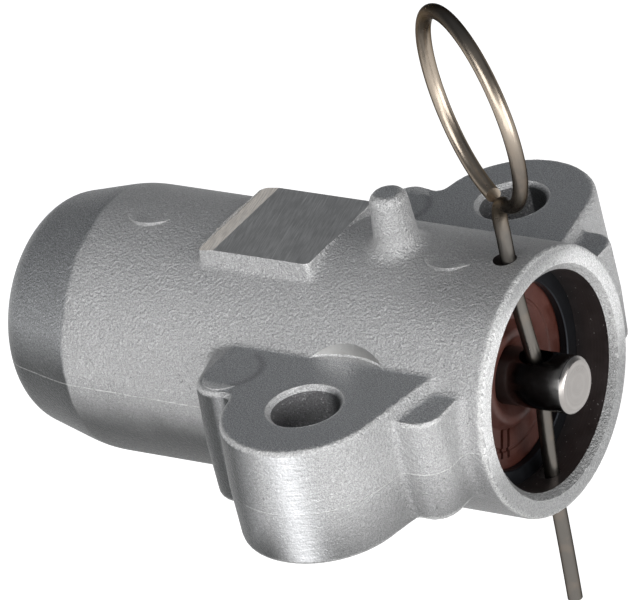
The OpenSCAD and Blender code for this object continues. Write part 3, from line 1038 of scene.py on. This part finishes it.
    def ear_field(self, rule: Rule, x: Sock, out: Sock, z: Sock) -> Sock:
        """Return the distance to an ear: a drafted boss and lobe of one height, and a lower web."""
        boss_r = rule.input("Boss radius")
        boss = Corner(0.0, self.hole_y, self.boss_r)
        shoulder = Corner(self.ear_front - self.web_round, self.shoulder_y, self.web_round)
        front = Wall.touching(boss, shoulder, 1)
        chord = Wall.through((-self.boss_r, self.hole_y), front.foot(boss))
        plate = greatest(front.field(x, out), -boss_r - x, chord.field(x, out))
        ear = least(length(x, out - self.hole_y) - boss_r, plate)
        lobe = Corner(-self.lobe_back, self.lobe_y, self.lobe_r)
        root = Corner(-self.lobe_back - self.lobe_root, self.shoulder_y, self.web_round)
        tip = Corner(-self.boss_r / 2, self.lobe_y, self.web_round)
        back = Wall.touching(lobe, root, -1)
        side = Wall.touching(lobe, tip, 1)
        cap = Wall.through(back.foot(lobe), side.foot(lobe))
        tab = greatest(back.field(x, out), side.field(x, out), cap.field(x, out), x - tip.x)
        outline = filleted(ear, least(lobe.field(x, out), tab), self.lobe_fillet)
        lean = abs(z) * math.tan(math.radians(self.draft))
        flange = rounded(outline + lean, greatest(z - self.ear_up, -self.ear_down - z),
                         rule.input("Ear rounding"))
        fall = (z - self.ear_up - (x - self.lobe_fall_x) * self.lobe_fall) / math.hypot(1.0, self.lobe_fall)
        flange = rounded(flange, fall, rule.input("Ear rounding"))
        corner = rounded(x - self.web_front, out - self.web_y, self.web_corner)
        web = rounded(greatest(corner, self.web_back - x) + lean,
                      greatest(z - self.web_up, -self.web_down - z), self.web_edge)
        return filleted(flange, web, self.web_fillet)

    def pad_field(self, x: Sock, out: Sock, z: Sock) -> Sock:
        """Return the distance to the raised pad, a little too high until it is milled."""
        half = self.pad_l / 2
        ends = abs(x + (self.pad_back + half)) - half
        outline = rounded(ends, out - self.pad_half_w, self.pad_corner)
        top = z - (self.pad_top + self.pad_stock)
        return greatest(rounded(outline + (z - self.pad_top) * self.pad_lean, top, self.pad_edge),
                        self.bore_r - z)

    def stub_field(self, x: Sock, y: Sock, z: Sock) -> Sock:
        """Return the distance to the drafted stub on the crown."""
        top = self.barrel_r + self.stub_h
        slope = math.radians(self.stub_draft)
        side = (length(x, y) - self.stub_r - (top - z) * math.tan(slope)) * math.cos(slope)
        return greatest(rounded(side, z - top, self.stub_round), self.bore_r - z)

    def mark_posts(self) -> list[Mesh]:
        """Make the flat discs that the ejectors left on the crown and the lobes, each up to its own level."""
        foot, crown = self.bore_r + self.mark_root, self.barrel_r - self.mark_sink
        posts = [drill(foot, crown, self.mark_r, (x, 0.0)) for x in self.mark_stations]
        for post in posts:
            post.transform(leaning(-self.mark_lean))
        foot, top = self.ear_up - self.mark_root, self.ear_up + self.lip_h - self.lip_lean * self.lobe_mark_r
        for side in SIDES:
            middle = side * self.lobe_mark_y
            disc = drill(foot, top, self.lobe_mark_r, (self.lobe_mark_x, middle))
            disc.transform(leaning(side * self.lip_lean, middle * MM))
            posts.append(disc)
        return posts

    def cutters(self) -> list[Mesh]:
        """Make the cuts: bore, bolt holes, pin hole, the pad's two faces and the scoops for bolt heads."""
        over, low, high = self.over, -self.ear_down, self.ear_up
        groove = (self.ring_x - self.ring_play, self.ring_x + self.ring_t + self.ring_play)
        bore = stepped((self.floor_x, self.step_x, self.seal_x, *groove, self.front - self.mouth_chamfer),
                       (self.sleeve_seat_r, self.reservoir_r, self.bore_r, self.groove_r, self.bore_r))
        cone = [(self.front + over, self.bore_r + self.mouth_chamfer + over), (self.front + over, 0.0)]
        wide = self.hole_r + self.hole_chamfer + over
        hole = [(low - over, 0.0), (low - over, wide), (low + self.hole_chamfer, self.hole_r),
                (high - self.hole_chamfer, self.hole_r), (high + over, wide), (high + over, 0.0)]
        reach = self.barrel_r + over
        foot = high + self.scoop_lift
        scoop = [(foot, 0.0), (foot, self.scoop_r - self.scoop_foot), (foot + self.scoop_foot, self.scoop_r),
                 (reach, self.scoop_r), (reach, 0.0)]
        centres = [(0.0, side * self.hole_y, 0.0) for side in SIDES]
        rear, wider = -self.pad_back - self.pad_l, self.pad_half_w + self.margin
        flat = block((rear - over, -wider, self.pad_top),
                     (self.margin - self.pad_back, wider, self.pad_top + over))
        lean = Matrix.Translation((rear + self.pad_bevel, 0.0, self.pad_top)) @ Matrix.Rotation(
            -self.pitch, 4, "Y")
        slant = block((-math.hypot(self.pad_bevel, self.pad_drop), -wider, 0.0),
                      (0.0, wider, over + self.margin), lean)
        return [turned(bore[:-1] + cone), *(turned(hole, Axis.UP, centre, steps=72) for centre in centres),
                drill(-reach, reach, self.pin_hole_r, (self.pin_hole_x, 0.0), steps=48), flat, slant,
                *(turned(scoop, Axis.UP, centre) for centre in centres)]

    def sort_faces(self, mesh: Mesh) -> None:
        """Give each machined face its own slot, by its place and direction."""
        x, y, z = (read(mesh.polygons, "center") / MM).T
        nx, ny, nz = read(mesh.polygons, "normal").T
        radius, out, level = np.hypot(y, z), np.abs(y), np.abs(nz)
        outward = (ny * y + nz * z) / np.maximum(radius, WELD)
        apart = np.hypot(x, out - self.hole_y)
        inside = (radius < self.groove_r + NEAR) & (x > self.floor_x - 0.1) & (x < self.front - 0.01)
        ledge = (radius < self.bore_r + 0.9) & (np.abs(nx) > 0.7) & (x > -50)
        hidden = (outward < -0.2) | ledge | ((nx > 0.7) & (x < self.front - 0.2))
        mouth = (x > self.front - self.mouth_chamfer) & (radius < self.bore_r + self.mouth_chamfer)
        scooped = (apart < self.scoop_r + NEAR) & (apart > self.scoop_r - self.scoop_foot - NEAR)
        scooped &= z > self.ear_up
        pin_wall = np.abs(np.hypot(x - self.pin_hole_x, y) - self.pin_hole_r) < NEAR
        rear = -self.pad_back - self.pad_l
        near_pad = (out < self.pad_half_w + 0.5) & (x < -self.pad_back + 0.5) & (x > rear - self.margin)
        slanted = (np.abs(nx + math.sin(self.pitch)) < FLUSH) & (np.abs(nz - math.cos(self.pitch)) < FLUSH)
        slot = np.full(len(x), Surface.CAST)
        for surface, chosen in (
                (Surface.RIM, (x > self.front - 0.1) & (nx > 0.9)),
                (Surface.BORE, inside & hidden),
                (Surface.MOUTH, mouth & (nx > 0.4) & (outward < -0.4)),
                (Surface.HOLE, (apart < self.hole_r + 0.1) & (level < 0.2)),
                (Surface.COUNTERSINK, (apart < self.hole_r + self.hole_chamfer) & (level > 0.4)),
                (Surface.SCOOP, scooped & (level < NEAR)),
                (Surface.COUNTERSINK, scooped & (np.abs(nz - math.sqrt(0.5)) < NEAR)),
                (Surface.BORE, pin_wall & (level < 0.2)),
                (Surface.PAD, near_pad & (np.abs(z - self.pad_top) < FLUSH) & (nz > 0.99)),
                (Surface.BEVEL, near_pad & slanted & (x < rear + self.pad_bevel))):
            slot[chosen] = surface
        mesh.polygons.foreach_set("material_index", slot.astype(np.int32))

    def mark_wear(self, mesh: Mesh) -> None:
        """Store how worn each point is, the painted shade it gets, how smooth from the die it is and how much
        of the painted highlight band it gets.
        """
        at = read(mesh.vertices, "co") / MM
        normal = read(mesh.vertex_normals, "vector")
        write(mesh, "edge", ramp(self.bend(mesh, at, normal), *self.edge_bend))
        (x, y, z), (nx, ny, nz) = at.T, normal.T
        out, upright = np.abs(y), np.abs(nz) < self.wall_facing
        level = np.minimum(np.abs(z - self.ear_up), np.abs(z - self.web_up)) < self.die_gap
        stub = z > self.barrel_r + self.stub_h - 0.1
        die = ((level & (out > self.bore_r)) | stub) & (nz > self.die_facing)
        facing = np.degrees(np.arctan2(nx, np.sign(y) * ny))
        # Painted shadow: a crescent on the die faces beside each lobe disc.
        from_lobe = np.hypot(x - self.lobe_mark_x, out - self.lobe_shadow_y)
        lobe_shadow = ramp(np.abs(from_lobe - self.lobe_shadow_r), self.lobe_shadow_w, 0.0) * die
        lobe_shadow *= ramp(x - self.lobe_mark_x, 0.0, self.lobe_shadow_run) * self.lobe_shadow_tone
        # Painted shade: walls turned from the light, and the crescent by each lobe disc, are stored for
        # darkening.
        turned_from = np.where(x < self.lobe_shade_x, self.lobe_shade_facing, self.shade_facing)
        beside = ramp(out - self.barrel_r, 0.0, self.wall_fade_run) * upright
        turned_away_shade = np.maximum(lobe_shadow, beside * ramp(turned_from - facing, 0.0, self.facing_spread))
        write(mesh, "turned_away_shade", turned_away_shade)
        # The die finish also takes the painted shade, so these walls are smoother as well.
        write(mesh, "skin", np.maximum(die, turned_away_shade))
        # Painted highlight: a band of walls picked by their facing, which the casting paints lighter as well
        # as smoother and scratched.
        outer = ramp(out - self.hole_y, -self.wall_fade_run, self.wall_fade_run) * upright
        painted_highlight = ramp(np.abs(facing - self.highlight_facing), self.facing_spread, 0.0)
        write(mesh, "wall", outer * painted_highlight ** 2 * (3.0 - 2.0 * painted_highlight))

    def bend(self, mesh: Mesh, at: np.ndarray, normal: np.ndarray) -> np.ndarray:
        """Work out how far each point stands out from its neighbours.

        Args:
            mesh: the mesh.
            at: place of each point, in millimetres.
            normal: normal of each point.

        Returns:
            The bend at each point, evened out twice over its neighbours.
        """
        ends = read(mesh.edges, "vertices", 2, np.int32)
        here, there = np.concatenate([ends, ends[:, ::-1]]).T
        count = np.maximum(np.bincount(here, minlength=len(at)), 1)
        gap = at[there] - at[here]
        lift = -(normal[here] * gap).sum(1) / np.maximum((gap ** 2).sum(1), self.least_gap)
        bend = np.bincount(here, lift, len(at)) / count
        for _ in range(2):
            bend = (bend + np.bincount(here, bend[there], len(at)) / count) / 2
        return bend


@dataclass
class PushRod:
    """The rod from its tail in the plunger to the turned end in view."""

    tail_x: float = -24.7
    tail_r: float = 5.0
    flange_x: float = -17.2
    flange_r: float = 8.6
    wear_x: float = -14.7
    head_r: float = 6.0
    clip_x: float = -6.68
    clip_t: float = 1.2
    clip_r: float = 5.2
    head_x: float = -4.28
    shank_x: float = -2.28
    radius: float = 4.0
    end_x: float = 24.7
    chamfer: float = 0.5
    rim_soft: Spot = (0.12, 0.04)
    face_soft: Spot = (0.05, 0.06)
    face_rise: float = 0.03
    hole_x: float = 18.36
    hole_r: float = 1.85
    hole_run: float = 1.15
    crisp: float = 28.0

    def build(self) -> Object:
        """Turn the rod, drill it for the set pin and dress it."""
        shaft = stepped((self.tail_x, self.flange_x, self.wear_x, self.clip_x, self.clip_x + self.clip_t,
                         self.head_x), (self.tail_r, self.flange_r, self.head_r, self.clip_r, self.head_r))
        rim_x, face_r = self.end_x - self.chamfer, self.radius - self.chamfer
        tip = [(self.shank_x, self.radius), (rim_x - self.rim_soft[0], self.radius),
               (rim_x, self.radius - self.rim_soft[1]),
               (self.end_x - self.face_soft[0], face_r + self.face_rise),
               (self.end_x, face_r - self.face_soft[1]), (self.end_x, 0.0)]
        reach = 2 * self.radius
        drills = [drill(-reach, reach, self.hole_r, (self.hole_x + shift, 0.0), steps=48)
                  for shift in (0.0, self.hole_run)]
        mesh = dress(cut(turned(shaft[:-1] + tip), drills), self.crisp, ROD_SIDE, ROD_END)
        ended = read(mesh.polygons, "center")[:, 0] / MM > rim_x
        mesh.polygons.foreach_set("material_index", ended.astype(np.int32))
        return place_piece("push_rod_turned", mesh, Body.ROD, "push_rod")


@dataclass
class OilSeal:
    """The rubber seal on its case, with the neck round the rod, a moulded line and two slots on its face."""

    back_x: float = 8.98
    face_x: float = 13.78
    case_r: float = 15.18
    case_wall: float = 1.4
    wall: float = 1.6
    lip_r: float = 4.03
    neck_r: float = 7.4
    neck_h: float = 1.4
    line_r: float = 10.4
    line_half: float = 0.16
    line_depth: float = 0.2
    lip_wall: float = 1.6
    garter_r: float = 0.72
    garter_x: float = 9.7
    slot_width: float = 0.62
    slot_depth: float = 1.2
    slots: Sequence[tuple[Spot, Spot]] = (((-4.0, -6.3), (-5.27, -10.3)),
                                          ((-2.48, -6.92), (-3.75, -10.93)))
    crisp: float = 40.0

    def build(self) -> Object:
        """Mould the seal and dress it."""
        wall_x = self.face_x - self.wall
        lip_out = self.lip_r + self.lip_wall
        case_in = self.case_r - self.case_wall
        seat = [(self.garter_x + self.garter_r * math.cos(turn), lip_out - self.garter_r * math.sin(turn))
                for turn in np.linspace(math.pi, 0.0, 9)]
        rear = [(self.back_x, self.lip_r), (self.back_x, lip_out), *seat, (wall_x, lip_out),
                (wall_x, case_in), (self.back_x, case_in), (self.back_x, self.case_r),
                (self.face_x, self.case_r)]
        low = self.face_x - self.line_depth
        line = [(self.face_x, self.line_r + 2 * self.line_half), (low, self.line_r + self.line_half),
                (low, self.line_r - self.line_half), (self.face_x, self.line_r - 2 * self.line_half)]
        crest, crest_r = self.face_x + self.neck_h, self.neck_r - self.neck_h / 2
        bell_r = self.lip_r + self.neck_h
        neck = [(self.face_x, self.neck_r + 0.35), (self.face_x + 0.12, self.neck_r + 0.08),
                (crest - 0.25, crest_r + 0.08), (crest, crest_r - 0.25), (crest, bell_r + 0.2),
                (crest - 0.2, bell_r - 0.05), (self.face_x, self.lip_r)]
        slots = [self.slot_cutter(*ends) for ends in self.slots]
        mesh = dress(cut(turned(rear + line + neck, closed=True), slots), self.crisp, SEAL)
        return place_piece("oil_seal_moulded", mesh, Body.HOUSING, "oil_seal")

    def slot_cutter(self, start: Spot, end: Spot) -> Mesh:
        """Make the cutter of a narrow mould slot.

        Args:
            start: Y and Z of one end.
            end: Y and Z of the other end.

        Returns:
            The cutter.
        """
        across, up = end[0] - start[0], end[1] - start[1]
        half = self.slot_width / 2
        place = Matrix.Translation((self.face_x, *start)) @ Matrix.Rotation(math.atan2(up, across), 4, "X")
        return block((-self.slot_depth, 0.0, -half), (1.0, math.hypot(across, up), half), place)


@dataclass
class RetainingRing:
    """The snap ring in front of the seal, open at one side."""

    back_x: float = 13.8
    thickness: float = 1.3
    inner_r: float = 13.0
    outer_r: float = 16.08
    gap: float = 5.0
    gap_turn: float = 90.0
    edge: float = 0.15
    crisp: float = 25.0

    def build(self) -> Object:
        """Stamp the ring and dress it."""
        back, front, soft = self.back_x, self.back_x + self.thickness, self.edge
        low, high = self.inner_r, self.outer_r
        outline = [(back, low + soft), (back, high - soft), (back + soft, high), (front - soft, high),
                   (front, high - soft), (front, low + soft), (front - soft, low), (back + soft, low)]
        half = math.degrees(math.asin(self.gap / 2 / self.inner_r))
        mesh = turned(outline, closed=True, start=self.gap_turn + half, sweep=FULL_TURN - 2 * half)
        dress(mesh, self.crisp, RING)
        return place_piece("retaining_ring_stamped", mesh, Body.HOUSING, "retaining_ring")


@dataclass
class SetPin:
    """The wire pin: a shank that the rod bows a little, a bend and a leaning pull ring."""

    wire_r: float = 1.05
    x: float = 17.58
    low_z: float = -35.44
    bend_z: float = 23.43
    bend_r: float = 6.203
    bend_turn: float = 75.0
    loop_r: float = 13.9
    loop_z: float = 42.85
    loop_offset: float = 1.0
    loop_end: float = 357.0
    loop_turn: float = 145.0
    loop_lean: float = 3.5
    bow: float = 1.1
    bow_reach: float = 9.0
    tail_set: float = 0.3
    wall_z: float = 17.0
    sides: int = 28
    shank_steps: int = 90
    bend_steps: int = 16
    loop_steps: int = 150
    crisp: float = 45.0

    def build(self) -> Object:
        """Bend the wire along its path and dress it."""
        route = bpy.data.curves.new("set_pin_route", "CURVE")
        route.dimensions = "3D"
        points = self.path()
        spline = route.splines.new("POLY")
        spline.points.add(len(points) - 1)
        for point, place in zip(spline.points, points):
            point.co = (*(part * MM for part in place), 1.0)
        rule = Rule("wire_sweep", {"Wire radius": self.wire_r * MM})
        tree = rule.tree
        circle = tree.node("GeometryNodeCurvePrimitiveCircle",
                           {"Resolution": self.sides, "Radius": rule.input("Wire radius")})
        run = tree.node("GeometryNodeSplineParameter", output="Length") / MM
        lap = tree.node("GeometryNodeSplineParameter", output="Factor")
        marked, section = (
            tree.node("GeometryNodeStoreNamedAttribute", {"Geometry": curve, "Name": name, "Value": value})
            for curve, name, value in ((rule.input("Geometry"), "along", run), (circle, "around", lap)))
        tube = tree.node("GeometryNodeCurveToMesh",
                         {"Curve": marked, "Profile Curve": section, "Fill Caps": True})
        mesh = dress(rule.mesh(bpy.data.objects.new("set_pin_route", route), tube), self.crisp, WIRE)
        return place_piece("set_pin_wire", mesh, Body.PIN, "set_pin")

    def path(self) -> list[Place]:
        """Return points along the wire, from its lower end to the ring's free end."""
        shank = []
        for z in np.linspace(self.low_z, self.bend_z, self.shank_steps, endpoint=False):
            tail = max(0.0, (-self.wall_z - z) / (-self.wall_z - self.low_z))
            bow = self.bow * math.exp(-(z / self.bow_reach) ** 2)
            shank.append((self.x + bow - self.tail_set * tail ** 2, 0.0, z))
        bend = [(self.bend_r * (math.cos(turn) - 1.0), self.bend_r * math.sin(turn))
                for turn in np.radians(np.linspace(0.0, self.bend_turn, self.bend_steps, endpoint=False))]
        meet, end = 180.0 + self.bend_turn, 270.0 - self.loop_end
        ring = [(self.loop_r * math.cos(turn) - self.loop_offset,
                 self.loop_r * math.sin(turn) + self.loop_z - self.bend_z)
                for turn in np.radians(np.linspace(meet, end, self.loop_steps))]
        return shank + [self.lean(*spot) for spot in bend + ring]

    def lean(self, across: float, up: float) -> Place:
        """Place a point of the ring's own plane, which leans and is turned about the shank."""
        slope, turn = math.radians(self.loop_lean), math.radians(self.loop_turn)
        aside, rise = up * math.sin(slope), up * math.cos(slope)
        return (self.x + across * math.cos(turn) - aside * math.sin(turn),
                across * math.sin(turn) + aside * math.cos(turn), self.bend_z + rise)


@dataclass
class ReturnSpring:
    """The coil behind the plunger, which shortens as the rod goes in."""

    node: str = "return_spring"
    joint: str = "rod_slide"
    stroke: float = 1.5

    def build(self) -> Object:
        """Copy the CAD coil into a piece of its own."""
        mesh = bpy.data.objects[self.node].data.copy()
        fill_slots(mesh, SPRING)
        made = place_piece("return_spring_coil", mesh, Body.HOUSING, self.node)
        low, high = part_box(self.node)
        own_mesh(made)
        return made


@dataclass
class InnerWorks:
    """The pieces inside the barrel, which keep their CAD meshes, and the solids behind the visible pieces."""

    finishes: Mapping[str, Finish] = field(default_factory=lambda: {
        "sleeve": GROUND, "plunger": GROUND, "check_valve_cage": GROUND, "check_ball": BALL,
        "check_ball_spring": SPRING, "return_spring": SPRING, "garter_spring": SPRING,
        "wear_ring": GUIDE, "wear_ring_clip": SPRING, "housing": CAST, "push_rod": ROD_SIDE,
        "oil_seal": SEAL, "retaining_ring": RING, "set_pin": SPRING})

    def dress(self) -> None:
        """Give each CAD node its finish."""
        for made in bpy.data.objects:
            finish = self.finishes.get(made.name.split(".")[0])
            if finish and made.type == "MESH":
                fill_slots(made.data, finish)
                LOG.info("%s: CAD mesh in %s", made.name, finish.name)


@dataclass(frozen=True)
class Lamp:
    """A soft lamp that hangs in a direction from the part and faces it."""

    name: str
    direction: Place
    power: float
    width: float = 460.0
    height: float = 460.0
    away: float = 700.0

    def hang(self) -> None:
        """Put the lamp into the scene."""
        lamp = bpy.data.lights.new(self.name, "AREA")
        lamp.shape = "RECTANGLE"
        lamp.size, lamp.size_y = self.width * MM, self.height * MM
        lamp.energy = self.power
        made = bpy.data.objects.new(self.name, lamp)
        made.location = Vector(self.direction).normalized() * self.away * MM
        made.rotation_euler = Vector(self.direction).to_track_quat("Z", "Y").to_euler()
        bpy.context.collection.objects.link(made)


@dataclass
class Studio:
    """White floor, three soft lamps, a world that darkens overhead, and the camera."""

    azimuth: float = 38.347
    elevation: float = 29.446
    roll: float = -12.348
    distance: float = 996.946
    target: Place = (-13.167, -3.181, 9.56)
    focal_px: float = 7352.6
    width_px: int = 633
    sensor: float = 36.0
    clip_end: float = 20.0
    floor_z: float = -36.5
    floor_r: float = 3000.0
    floor_grey: float = 0.4
    floor_roughness: float = 0.9
    floor_glow: float = 0.95
    backdrop: Place = (-0.72, 0.69, 0.0)
    room: Sequence[tuple[float, Colour]] = (
        (0.0, (0.5, 0.5, 0.5)), (0.1, (0.2, 0.2, 0.2)), (0.2, (0.06, 0.062, 0.066)),
        (0.6, (0.07, 0.072, 0.077)), (0.75, (0.22, 0.23, 0.245)))
    back_wall: Colour = (0.15, 0.155, 0.165)
    horizon: Colour = (0.5, 0.5, 0.5)
    lamps: Sequence[Lamp] = (Lamp("front_lamp", (-0.108, -0.876, 0.469), 3.2),
                             Lamp("camera_lamp", (0.596, -0.791, 0.139), 3.7, width=700.0),
                             Lamp("mouth_lamp", (0.987, -0.086, 0.139), 4.2))

    def build(self) -> None:
        """Set the stage, the lamps, the world and the camera."""
        self.set_floor()
        for lamp in self.lamps:
            lamp.hang()
        self.set_world()
        self.set_camera()
        bpy.context.scene.view_settings.view_transform = "Standard"

    def set_floor(self) -> None:
        """Lay a round white floor under the pin's end."""
        shape = bmesh.new()
        bmesh.ops.create_circle(shape, cap_ends=True, segments=96, radius=self.floor_r)
        mesh = plain_mesh(shape, Matrix.Translation((0.0, 0.0, self.floor_z)))
        paper = bpy.data.materials.new("white_paper")
        paper.use_nodes = True
        tree = Tree(paper.node_tree)
        seen = greatest(*(tree.node("ShaderNodeLightPath", output=key)
                          for key in ("Is Camera Ray", "Is Glossy Ray", "Is Transmission Ray")))
        tree.fill(paper.node_tree.nodes["Principled BSDF"], {
            "Base Color": (*(self.floor_grey,) * 3, 1.0), "Roughness": self.floor_roughness,
            "Emission Color": (1.0,) * 4, "Emission Strength": seen * self.floor_glow})
        mesh.materials.append(paper)
        piece("floor", mesh)

    def set_world(self) -> None:
        """Light the surroundings: white at the horizon, dim overhead."""
        world = bpy.data.worlds.new("studio")
        world.use_nodes = True
        bpy.context.scene.world = world
        tree = Tree(world.node_tree)
        coords = tree.node("ShaderNodeTexCoord", output="Generated")
        height = coords.axis("Z")
        behind = tree.node("ShaderNodeVectorMath", {0: coords, 1: self.backdrop}, output="Value",
                           operation="DOT_PRODUCT")
        room = tree.node("ShaderNodeValToRGB", {0: height}, stops=self.room)
        colour = tree.layered(room, (behind.step(0.0, 0.6) * height.step(0.75, 0.6), self.back_wall),
                              (behind.step(0.2, 0.8) * height.step(0.34, 0.1), self.horizon))
        tree.fill(world.node_tree.nodes["Background"], {"Color": colour, "Strength": 1.0})

    def set_camera(self) -> None:
        """Set the camera at the photograph's viewing angle."""
        lens = bpy.data.cameras.new("camera")
        lens.sensor_fit = "HORIZONTAL"
        lens.sensor_width = self.sensor
        lens.lens = self.focal_px * self.sensor / self.width_px
        lens.clip_end = self.clip_end
        made = bpy.data.objects.new("camera", lens)
        side, rise = math.radians(self.azimuth), math.radians(self.elevation)
        back = Vector((math.sin(side) * math.cos(rise), -math.cos(side) * math.cos(rise), math.sin(rise)))
        right = Vector((math.cos(side), math.sin(side), 0.0))
        up = back.cross(right)
        turn = math.radians(self.roll)
        across = right * math.cos(turn) + up * math.sin(turn)
        top = up * math.cos(turn) - right * math.sin(turn)
        place = Matrix((across, top, back)).transposed().to_4x4()
        place.translation = (Vector(self.target) + back * self.distance) * MM
        made.matrix_world = place
        bpy.context.collection.objects.link(made)
        bpy.context.scene.camera = made


def main() -> None:
    """Build the pieces in order."""
    logging.basicConfig(level=logging.INFO, format="%(name)s: %(message)s")
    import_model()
    Studio().build()
    for part in (Housing(), PushRod(), OilSeal(), RetainingRing(), SetPin(), ReturnSpring()):
        part.build()
    InnerWorks().dress()


if __name__ == "__main__":
    main()
